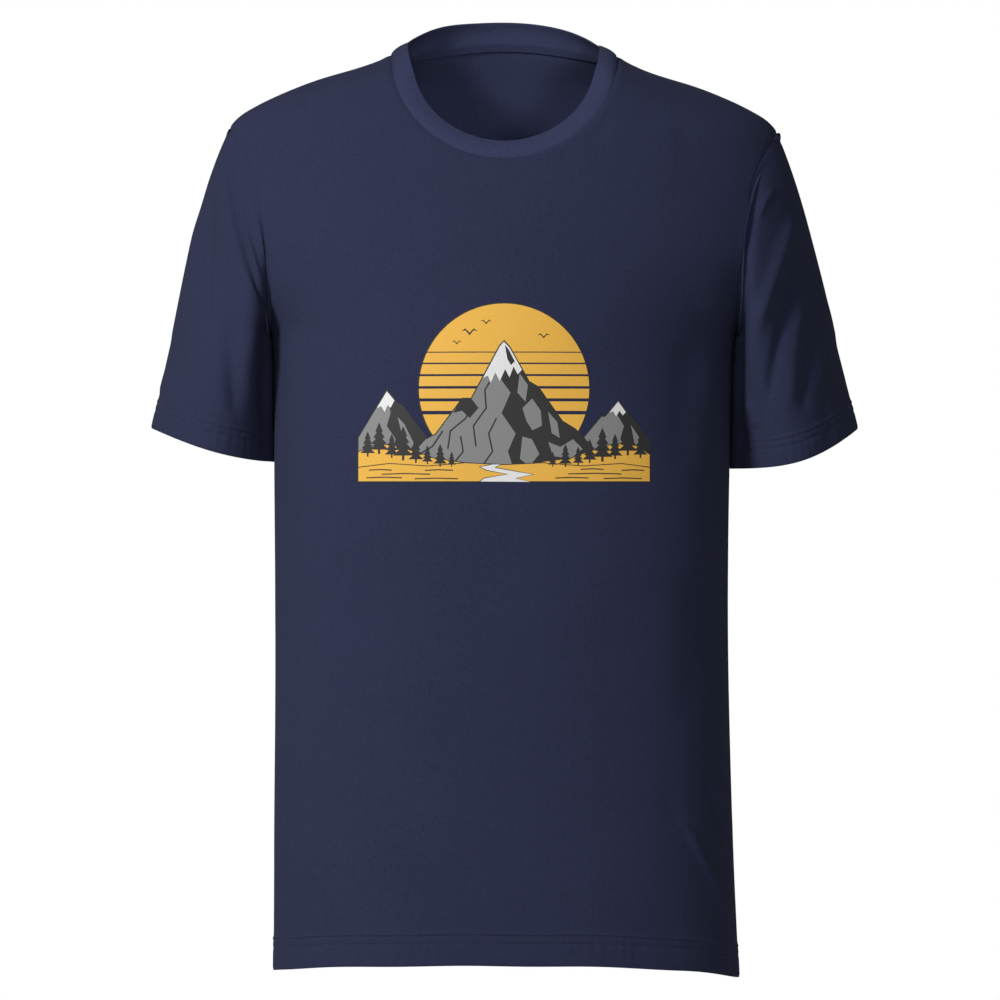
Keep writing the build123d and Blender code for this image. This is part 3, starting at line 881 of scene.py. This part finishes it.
def make_inner_seams():
    """Overlocked seam allowances and the neck tape, inside the shirt."""
    pieces = []
    wave = np.sin(np.linspace(0, 1, 300) * 900)
    runs = (
        ("side", np.linspace(-713, UNDERARM - 3, 300), 0.85, 0.2 * wave),
        ("shoulder", np.linspace(-55, -4.5, 90), 0.95, 0.0),
    )
    for side, name in SIDES:
        for kind, z, depth, ripple in runs:
            rows = []
            for w in (0.4, 2.5, 4.5, 6.2):
                t = (w + ripple * (w > 5)) / back_depth(z)
                rows.append(np.stack([t if side > 0 else math.pi - t, z], -1))
            g = np.array(rows if side < 0 else rows[::-1])
            title, node = kind + "_allowance_" + name, kind + "_seam_" + name
            pieces.append(body_strip(title, g[..., 0], g[..., 1], depth, 1.1, node, 6))
    ring = np.linspace(0.004, 2 * math.pi - 0.004, 500)
    half_ring = np.linspace(0.1, math.pi - 0.1, 240)
    for title, turn, widths, depth, thickness, slot_name, node in (
        ("neck_allowance", ring, (6.2, 4.5, 2.5, 0.8), 0.85, 1.1, "overlock", "neck_seam"),
        ("neck_tape_cloth", half_ring, (6.8, 5.0, 3.0, 0.8), 2.1, 0.5, "seam_tape", "neck_tape"),
    ):
        z = neck_z(turn)
        slope = np.linalg.norm(body_at(turn, z) - body_at(turn, z - 1), axis=-1)
        g = np.array([np.stack([turn, z - w / slope], -1) for w in widths])
        pieces.append(body_strip(title, g[..., 0], g[..., 1], depth, thickness, node, 6))
    for side, name in SIDES:
        a = np.linspace(0.3 - math.pi, math.pi - 0.3, 260)
        reach = np.linalg.norm(sleeve_hem_point(a, side) - armhole(a, side), axis=-1)
        places = [(a, w / reach) for w in (0.8, 2.6, 4.4, 6.2)]
        pieces.append(sleeve_strip("armhole", side, name, places, 0.9, side > 0))
        down = np.linspace(0.1, 0.76, 90)
        under = np.full(90, math.pi)
        beside = np.full(90, math.pi - 0.01)
        speed = sleeve_at(under, down, side) - sleeve_at(beside, down, side)
        speed = np.linalg.norm(speed, axis=-1) / 0.01
        places = [(math.pi - 0.004 - w / speed, down) for w in (0.6, 2.6, 4.4, 6.2)]
        pieces.append(sleeve_strip("underarm", side, name, places, 0.85, side < 0))
    return pieces


# The chest print is the builder's own design of a sun behind mountains, in millimetres from the
# middle of its foot. Shapes are painted in order, and None leaves the cloth bare.
PRINT_FOOT = -344.0
SUN = (0.0, 73.3, 67.7)
LEFT_PEAK = pts(-115, 14, -115, 35, -92, 73, -83, 62, -79, 60, -69, 46.5, -56, 30, -40, 10)
RIGHT_PEAK = pts(40, 10, 56, 28, 69, 43.7, 76, 52, 79, 52, 89.7, 65, 98, 53, 102, 50, 115, 31, 115, 14)
MAIN_PEAK = pts(-86, 8, -62, 34, -54, 38, -33, 66, -26, 66, -4, 107, 0, 111.5, 5, 106)
MAIN_PEAK += pts(20, 79, 27, 75, 46, 48, 56, 42, 88, 8)


# Strokes in the meadow as (start, end, height), and trees as (place, foot, height)
MEADOW_LINES = [(-108, -80, 3.4), (-96, -58, 6.2), (-70, -36, 2.6), (-106, -88, 9.4), (-62, -40, 9.2)]
MEADOW_LINES += [(40, 66, 3.2), (50, 92, 6.4), (78, 108, 2.8), (60, 78, 10.0), (92, 110, 9.2)]
PINES = [(-107, 20, 20), (-98, 22, 25), (-88, 19, 19), (-79, 17, 27), (-69, 15, 20), (-60, 14, 15)]
PINES += [(-50, 12, 18), (-41, 12, 12), (107, 19, 19), (97, 21, 26), (87, 18, 20), (77, 16, 27)]
PINES += [(67, 15, 19), (58, 13, 15), (48, 12, 18), (38, 12, 12)]


def disc(x, y, radius, count=96):
    turn = np.linspace(0, 2 * math.pi, count, endpoint=False)
    return [(x + radius * math.cos(t), y + radius * math.sin(t)) for t in turn]


def inset(shape, d):
    """A polygon with each of its sides moved inwards by d."""
    p = np.array(shape, float)
    q = np.roll(p, -1, axis=0)
    area = (p[:, 0] * q[:, 1] - q[:, 0] * p[:, 1]).sum()
    along = unit(q - p)
    n = np.stack([-along[:, 1], along[:, 0]], -1) * np.sign(area)
    middle = unit(n + np.roll(n, 1, axis=0))
    share = np.maximum((middle * n).sum(-1), 0.4)
    return p + middle * (d / share)[:, None]


def stroke(points, width):
    """A line of even width as one polygon."""
    p = np.array(points, float)
    along = unit(np.gradient(p, axis=0))
    n = np.stack([-along[:, 1], along[:, 0]], -1) * width / 2
    return np.vstack([p + n, (p - n)[::-1]])


def pine(x, foot, tall):
    """A pine tree with four tiers of boughs and a trunk."""
    half, out = [], tall * 0.30
    for i in range(4):
        low = foot + tall * (0.14 + 0.19 * i)
        wide = out * (1 - 0.2 * i)
        half += [(wide, low), (wide * 0.42, low + tall * 0.16)]
    half = half[:-1] + [(0, foot + tall)]
    right = [(tall * 0.035, foot), (tall * 0.035, foot + tall * 0.14)] + half
    return [(x + a, b) for a, b in right] + [(x - a, b) for a, b in right[-2::-1]]


def bird(x, y, span):
    s = span / 2
    outline = pts(-1, 0.22, -0.5, 0.52, 0, 0, 0.5, 0.52, 1, 0.22, 0.5, 0.28, 0, -0.3, -0.5, 0.28)
    return [(x + a * s, y + b * s) for a, b in outline]


def print_shapes():
    """The print's shapes in the order in which they are painted, as (ink, polygon)."""
    out = []

    def paint(ink, shape):
        out.append((ink, shape))

    def lined(ink, shape, line):
        paint("charcoal", shape)
        paint(ink, inset(shape, line))

    lined("yellow", disc(*SUN), 1.0)
    for low, high in ((53.0, 55.8), (63.2, 65.6), (73.2, 75.2), (83.0, 84.6), (92.4, 93.6), (101.4, 102.2)):
        paint(None, [(-72, low), (72, low), (72, high), (-72, high)])
    for x, y, span in ((-27, 117, 13), (-14, 125, 9), (31, 114, 10), (-37, 109, 8)):
        paint("charcoal", bird(x, y, span))
    # Two ranges behind, each with a lit side, a shaded side and a cap of snow
    lined("grey", LEFT_PEAK, 0.8)
    paint("charcoal", pts(-92, 73, -83, 62, -79, 60, -69, 46.5, -56, 30, -40, 10, -84, 10, -88, 22,
        -85, 34, -92, 44, -89, 54))
    lined("grey", pts(-84, 52, -78, 46, -70, 30, -74, 24, -80, 36), 0.4)
    paint("white", pts(-91.9, 71.2, -99.8, 58.2, -96.4, 59.6, -93.6, 55.0, -91.4, 60.6, -89.0, 58.2,
        -86.0, 64.2))
    lined("grey", RIGHT_PEAK, 0.8)
    paint("charcoal", pts(89.7, 65, 98, 53, 102, 50, 115, 31, 115, 14, 94, 12, 96, 24, 91, 34, 94, 44,
        88, 54))
    lined("grey", pts(99, 46, 106, 36, 108, 26, 102, 30), 0.4)
    paint("white", pts(89.6, 63.2, 82.6, 54.6, 85.6, 55.6, 87.8, 51.4, 90.4, 56.0, 93.0, 52.4,
        95.6, 54.9))
    # The main peak
    lined("grey", MAIN_PEAK, 0.9)
    paint("charcoal", pts(0, 111.5, 5, 106, 20, 79, 27, 75, 46, 48, 56, 42, 88, 8, 8, 8, 3, 24, 9, 38,
        -2, 54, 5, 70, -5, 84, 3, 98))
    for shape in (
        pts(12, 86, 19, 76, 17, 62, 10, 70),
        pts(14, 58, 22, 66, 29, 56, 30, 44, 22, 40, 17, 48),
        pts(34, 56, 42, 47, 44, 34, 37, 38),
        pts(14, 36, 22, 34, 28, 22, 20, 12, 12, 18),
        pts(34, 32, 44, 28, 54, 34, 62, 26, 52, 18, 38, 20),
    ):
        lined("grey", shape, 0.35)
    for points in (
        pts(-8, 84, -15, 72, -14, 58, -24, 44, -22, 28),
        pts(-24, 62, -30, 50, -42, 40, -44, 26),
        pts(-6, 50, -12, 38, -9, 24, -16, 14),
        pts(-48, 40, -56, 28, -66, 22),
        pts(-34, 36, -32, 24, -40, 14),
    ):
        paint("charcoal", stroke(points, 1.3))
    paint("charcoal", pts(-26, 66, -20, 58, -27, 50, -33, 56, -40, 54, -33, 66))
    paint("white", pts(-0.2, 110.0, -3.2, 106.4, -16.4, 81.6, -12.6, 83.4, -10.6, 77.6, -6.8, 85.8,
        -3.4, 79.0, 0.8, 88.4, 4.2, 82.0, 7.4, 90.4, 10.6, 84.4, 14.0, 88.0, 4.2, 105.4))
    paint("charcoal", pts(0.6, 107.5, 3.4, 104.2, 8.4, 94.6, 5.4, 91.6, 2.6, 96.4))
    # Foothills, a river and the meadow
    lined("yellow", pts(-115, 8, -115, 24, -104, 29, -90, 30, -72, 25, -54, 19, -34, 16, -12, 13,
        -12, 8), 0.7)
    lined("yellow", pts(115, 8, 115, 22, 104, 29, 88, 31, 70, 26, 52, 19, 34, 17, 10, 13, 10, 8), 0.7)
    lined("yellow", pts(-115, 0, -115, 12, -90, 15, -60, 13, -30, 15.5, 0, 14, 30, 15.5, 62, 13, 92, 15,
        115, 12, 115, 0), 0.7)
    river = pts(-9, 14.4, -2, 14.2, -6, 11.5, 8, 9, 24, 6, 10, 3, 22, 0, -20, 0, -16, 3.4, 2, 6.2,
        -14, 9, -20, 12)
    paint("charcoal", river)
    paint("white", inset(river, 0.6))
    for x0, x1, y in MEADOW_LINES:
        paint("charcoal", stroke([(x0, y), ((x0 + x1) / 2, y + 0.5), (x1, y)], 0.9))
    for x, foot, tall in PINES:
        paint("charcoal", pine(x, foot, tall))
    return out


def make_print(surface):
    """Films of ink, one for each colour, that follow the front's cloth."""
    shapes = print_shapes()
    points, edges = [], []
    for _, corners in shapes:
        ends = np.roll(np.array(corners, float), -1, axis=0)
        shape = []
        for a, b in zip(np.array(corners, float), ends):
            parts = max(1, int(np.linalg.norm(b - a) / 2.6))
            shape += [a + (b - a) * i / parts for i in range(parts)]
        first = len(points)
        points += [tuple(map(float, c)) for c in shape]
        edges += [(first + i, first + (i + 1) % len(shape)) for i in range(len(shape))]
    for y in np.arange(1.2, 141, 2.4):
        points += [(float(x), float(y)) for x in np.arange(-114, 114.5, 2.6)]
    flat, _, faces = delaunay_2d_cdt(points, edges, [], 0, 0.02)[:3]
    flat = np.array([tuple(v) for v in flat])
    faces = np.array([list(f) for f in faces])
    centres = flat[faces].mean(axis=1)
    ink_of = np.full(len(faces), "", dtype="<U10")
    for ink, shape in shapes:
        ink_of[inside(centres, np.array(shape, float))] = ink or ""
    place = np.zeros((len(flat), 3))
    out = np.zeros((len(flat), 3))
    for i in np.unique(faces[ink_of != ""]):
        hit, normal, _, _ = surface.ray_cast((flat[i, 0], -400.0, flat[i, 1] + PRINT_FOOT), (0, 1, 0))
        place[i], out[i] = hit, normal
    pieces = {}
    for ink in ("yellow", "charcoal", "grey", "white"):
        mine = faces[ink_of == ink]
        used, local = np.unique(mine, return_inverse=True)
        mine = local.reshape(-1, 3)
        n = len(used)
        verts = np.vstack([place[used] + out[used] * 0.17, place[used] + out[used] * 0.02])
        sides = np.vstack([mine[:, [0, 1]], mine[:, [1, 2]], mine[:, [2, 0]]])
        pairs = set(map(tuple, sides.tolist()))
        rim = [[b, a, a + n, b + n] for a, b in pairs if (b, a) not in pairs]
        solid = mine.tolist() + (mine[:, ::-1] + n).tolist() + rim
        uv = np.vstack([flat[used], flat[used]])
        obj = new_mesh("print_" + ink, verts, solid, uv, sharp=50)
        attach(obj, "root")
        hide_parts("chest_print")
        pieces[ink] = obj
    return pieces


def stitch_row(along):
    """Points and quads of a row of stitches on a surface path of (point, normal), about 3 mm each."""
    p, normal = along
    d = run_length(p)
    count = int(d[-1] / 3.0)
    pitch = d[-1] / count
    stations = np.array([0.08, 0.24, 0.5, 0.76, 0.92]) * pitch
    at = (np.arange(count)[:, None] * pitch + stations).ravel()
    c = interp_points(at, d, p)
    n = unit(interp_points(at, d, normal))
    ahead = interp_points(at + 0.3, d, p)
    behind = interp_points(at - 0.3, d, p)
    side = unit(np.cross(unit(ahead - behind), n))
    lift = np.tile([-0.28, 0.06, 0.14, 0.06, -0.28], count)
    thick_at = np.tile([0.10, 0.19, 0.22, 0.19, 0.10], count)
    c = c + n * lift[:, None]
    ring = []
    for k in range(6):
        a = math.pi * k / 3
        ring.append(c + (side * math.cos(a) + n * math.sin(a) * 0.85) * thick_at[:, None])
    verts = np.stack(ring, 1).reshape(-1, 3)
    faces = []
    for i in range(count):
        base = i * 30
        for j in range(4):
            for k in range(6):
                a, b = base + j * 6 + k, base + j * 6 + (k + 1) % 6
                faces.append([a, b, b + 6, a + 6])
        faces.append([base + k for k in range(5, -1, -1)])
        faces.append([base + 24 + k for k in range(6)])
    return verts, faces


def make_stitches():
    """The twin rows of stitches round the body's hem and both sleeves' hems."""
    paths = []
    for front_side in (True, False):
        start = math.pi if front_side else 0.0
        turn = np.linspace(start + 0.006, start + math.pi - 0.006, 900)
        for lift in HEM_LINES:
            p, normal, shift, _ = panel_surface(front_side, turn, hem_z(turn) + lift)
            paths.append((p + normal * shift[:, None], normal))
    groups = {"hem_stitches": paths}
    a = np.linspace(-math.pi + 0.03, math.pi - 0.03, 700)
    for side, name in SIDES:
        reach = np.linalg.norm(sleeve_hem_point(a, side) - armhole(a, side), axis=-1)
        rows = []
        for lift in SLEEVE_LINES:
            top, normal, _ = sleeve_surface(a, 1 - lift / reach, np.full(len(a), lift), reach, side)
            rows.append((top, normal))
        groups["sleeve_stitches_" + name] = rows
    made = []
    for name, rows in groups.items():
        verts, faces, total = [], [], 0
        for row in rows:
            v, f = stitch_row(row)
            verts.append(v)
            faces += [[i + total for i in face] for face in f]
            total += len(v)
        verts = np.vstack(verts)
        obj = new_mesh(name, verts, faces, verts[:, [0, 2]], sharp=0)
        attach(obj, "root")
        made.append(obj)
    return made


def node_material(name):
    mat = bpy.data.materials.new(name)
    mat.use_nodes = True
    tree = mat.node_tree
    shader = tree.nodes["Principled BSDF"]
    return mat, tree, shader


def math_node(tree, kind, a, b=None):
    node = tree.nodes.new("ShaderNodeMath")
    node.operation = kind
    for i, v in enumerate((a, b)):
        if v is None:
            continue
        if isinstance(v, (int, float)):
            node.inputs[i].default_value = v
        else:
            tree.links.new(v, node.inputs[i])
    return node.outputs[0]


def noise(tree, coords, scale, detail):
    node = tree.nodes.new("ShaderNodeTexNoise")
    node.inputs["Scale"].default_value = scale
    node.inputs["Detail"].default_value = detail
    tree.links.new(coords.outputs["Object"], node.inputs["Vector"])
    return node.outputs[0]


def cloth_coordinates(tree):
    uv = tree.nodes.new("ShaderNodeUVMap")
    uv.uv_map = "cloth"
    split = tree.nodes.new("ShaderNodeSeparateXYZ")
    tree.links.new(uv.outputs[0], split.inputs[0])
    return split.outputs[0], split.outputs[1]


def add_bump(tree, shader, height, strength, distance):
    bump = tree.nodes.new("ShaderNodeBump")
    bump.inputs["Strength"].default_value = strength
    bump.inputs["Distance"].default_value = distance
    tree.links.new(height, bump.inputs["Height"])
    tree.links.new(bump.outputs[0], shader.inputs["Normal"])


def add_shades(tree, shader, share, colour, stops):
    """Colour between two stops of (position, multiple of the colour)."""
    ramp = tree.nodes.new("ShaderNodeValToRGB")
    for element, (_, multiple) in zip(ramp.color_ramp.elements, stops):
        element.color = [min(1, c * multiple) for c in colour] + [1]
    for i, (position, _) in enumerate(stops):
        ramp.color_ramp.elements[i].position = position
    tree.links.new(share, ramp.inputs[0])
    tree.links.new(ramp.outputs[0], shader.inputs["Base Color"])


def knit_material(name, colour, wale=0.00072, depth=0.00010, sheen=0.03):
    """Cotton jersey: columns of small V stitches, a soft nap and slight shade changes."""
    mat, tree, shader = node_material(name)
    across, up = cloth_coordinates(tree)
    u = math_node(tree, "DIVIDE", across, wale)
    v = math_node(tree, "DIVIDE", up, wale * 0.8)
    slant = math_node(tree, "PINGPONG", u, 0.5)
    phase = math_node(tree, "ADD", v, math_node(tree, "MULTIPLY", slant, 1.3))
    course = math_node(tree, "SINE", math_node(tree, "MULTIPLY", phase, 2 * math.pi))
    column = math_node(tree, "SINE", math_node(tree, "MULTIPLY", u, math.pi))
    column = math_node(tree, "ABSOLUTE", column)
    height = math_node(tree, "ADD", math_node(tree, "MULTIPLY", course, 0.25), column)
    coords = tree.nodes.new("ShaderNodeTexCoord")
    fuzz = noise(tree, coords, 900, 3)
    height = math_node(tree, "ADD", height, math_node(tree, "MULTIPLY", fuzz, 0.9))
    add_bump(tree, shader, height, 0.7, depth)
    cloud = math_node(tree, "MULTIPLY", noise(tree, coords, 14, 4), 0.12)
    grain = math_node(tree, "MULTIPLY", noise(tree, coords, 420, 2), 0.3)
    shade = math_node(tree, "ADD", cloud, grain)
    add_shades(tree, shader, shade, colour, ((0.1, 0.86), (0.32, 1.16)))
    shader.inputs["Roughness"].default_value = 0.92
    shader.inputs["Specular IOR Level"].default_value = 0.12
    shader.inputs["Sheen Weight"].default_value = sheen
    shader.inputs["Sheen Roughness"].default_value = 0.55
    shader.inputs["Sheen Tint"].default_value = (0.75, 0.8, 1.0, 1)
    return mat


def ink_material(name, colour):
    """Screen ink: nearly matt, with the knit showing faintly through and a fine mottle."""
    mat, tree, shader = node_material(name)
    grain = noise(tree, tree.nodes.new("ShaderNodeTexCoord"), 1300, 3)
    add_shades(tree, shader, grain, colour, ((0.30, 0.90), (0.46, 1.03)))
    across, _ = cloth_coordinates(tree)
    u = math_node(tree, "SINE", math_node(tree, "MULTIPLY", across, math.pi / 0.00072))
    column = math_node(tree, "ABSOLUTE", u)
    height = math_node(tree, "ADD", math_node(tree, "MULTIPLY", column, 0.6), grain)
    add_bump(tree, shader, height, 0.4, 0.00006)
    shader.inputs["Roughness"].default_value = 0.62
    shader.inputs["Specular IOR Level"].default_value = 0.3
    return mat


NAVY = (0.0288, 0.0340, 0.0780)
INKS = {
    "yellow": (0.90, 0.50, 0.075),
    "charcoal": (0.034, 0.034, 0.034),
    "grey": (0.26, 0.26, 0.262),
    "white": (0.86, 0.86, 0.86),
}
jersey = knit_material("jersey", NAVY)
rib_knit = knit_material("rib_knit", tuple(c * 1.03 for c in NAVY), wale=0.0010)
overlock = knit_material("overlock", tuple(c * 0.9 for c in NAVY), wale=0.0016, depth=0.0003)
tape = knit_material("tape", tuple(c * 0.95 for c in NAVY), wale=0.0009)
# The thread is the cloth's navy made a quarter lighter: a painted highlight for the light line along the
# hem stitching.
thread_painted_highlight = knit_material("thread_painted_highlight", tuple(c * 1.25 for c in NAVY), wale=0.0003, depth=0.00008, sheen=0.2)

front, front_surface = make_panel("front_cloth", True, ["front_panel", "front_hem"])
back, _ = make_panel("back_cloth", False, ["back_panel", "back_hem"])
left = make_sleeve(1)
right = make_sleeve(-1)
collar = make_collar()
inner_pieces = make_inner_seams()
for obj in (front, back, left, right):
    obj.data.materials.append(jersey)
collar.data.materials.append(rib_knit)
for obj in inner_pieces:
    obj.data.materials.append(tape if "tape" in obj.name else overlock)
for obj in make_stitches():
    obj.data.materials.append(thread_painted_highlight)
for ink, obj in make_print(front_surface).items():
    obj.data.materials.append(ink_material("ink_" + ink, INKS[ink]))


def white_for_camera(tree, plain, white, output):
    """Shows the camera the white shader and everything else the plain one."""
    path = tree.nodes.new("ShaderNodeLightPath")
    mix = tree.nodes.new("ShaderNodeMixShader")
    tree.links.new(path.outputs["Is Camera Ray"], mix.inputs[0])
    tree.links.new(plain.outputs[0], mix.inputs[1])
    tree.links.new(white.outputs[0], mix.inputs[2])
    tree.links.new(mix.outputs[0], tree.nodes[output].inputs["Surface"])


def make_stage():
    """A white floor well below the shirt and a white world."""
    mesh = bpy.data.meshes.new("floor")
    s, z = 12.0, -1.45
    mesh.from_pydata([(-s, -s, z), (s, -s, z), (s, s, z), (-s, s, z)], [], [(0, 1, 2, 3)])
    floor = bpy.data.objects.new("floor", mesh)
    bpy.context.scene.collection.objects.link(floor)
    mat, tree, shader = node_material("floor_white")
    shader.inputs["Base Color"].default_value = (0.9, 0.9, 0.9, 1)
    shader.inputs["Roughness"].default_value = 0.9
    light = tree.nodes.new("ShaderNodeEmission")
    light.inputs["Strength"].default_value = 1
    white_for_camera(tree, shader, light, "Material Output")
    floor.data.materials.append(mat)
    world = bpy.data.worlds.new("world")
    bpy.context.scene.world = world
    world.use_nodes = True
    tree = world.node_tree
    sky = tree.nodes["Background"]
    sky.inputs["Color"].default_value = (1, 1, 1, 1)
    sky.inputs["Strength"].default_value = 0.12
    white = tree.nodes.new("ShaderNodeBackground")
    white.inputs["Color"].default_value = (1, 1, 1, 1)
    white.inputs["Strength"].default_value = 1
    white_for_camera(tree, sky, white, "World Output")


def make_lamp(name, place, aim, size, power):
    data = bpy.data.lights.new(name, "AREA")
    data.size = size
    data.energy = power
    lamp = bpy.data.objects.new(name, data)
    bpy.context.scene.collection.objects.link(lamp)
    lamp.location = place
    lamp.rotation_mode = "QUATERNION"
    lamp.rotation_quaternion = (Vector(aim) - Vector(place)).to_track_quat("-Z", "Y")
    return lamp


make_stage()
make_lamp("key", (-1.80, -2.00, 1.05), (0, 0, -0.2), 0.6, 60)
make_lamp("front", (0.0, -3.2, 0.9), (0, 0, -0.1), 0.8, 16)
# This lamp lights only the back panel, the collar and the inner seams, for the inside of the neck
inside_lamp = make_lamp("inside", (0.85, -2.4, 0.15), (0, 0, -0.05), 0.5, 22)
lit = bpy.data.collections.new("inside_lit")
for obj in [back, collar] + inner_pieces:
    lit.objects.link(obj)
inside_lamp.light_linking.receiver_collection = lit

data = bpy.data.cameras.new("camera")
camera = bpy.data.objects.new("camera", data)
bpy.context.scene.collection.objects.link(camera)
camera.location = CAMERA / 1000
camera.rotation_euler = (math.pi / 2, 0, 0)
data.sensor_width = SENSOR
data.lens = SENSOR * 4.5 / PHOTO_WIDTH
bpy.context.scene.camera = camera
bpy.context.scene.view_settings.view_transform = "Standard"
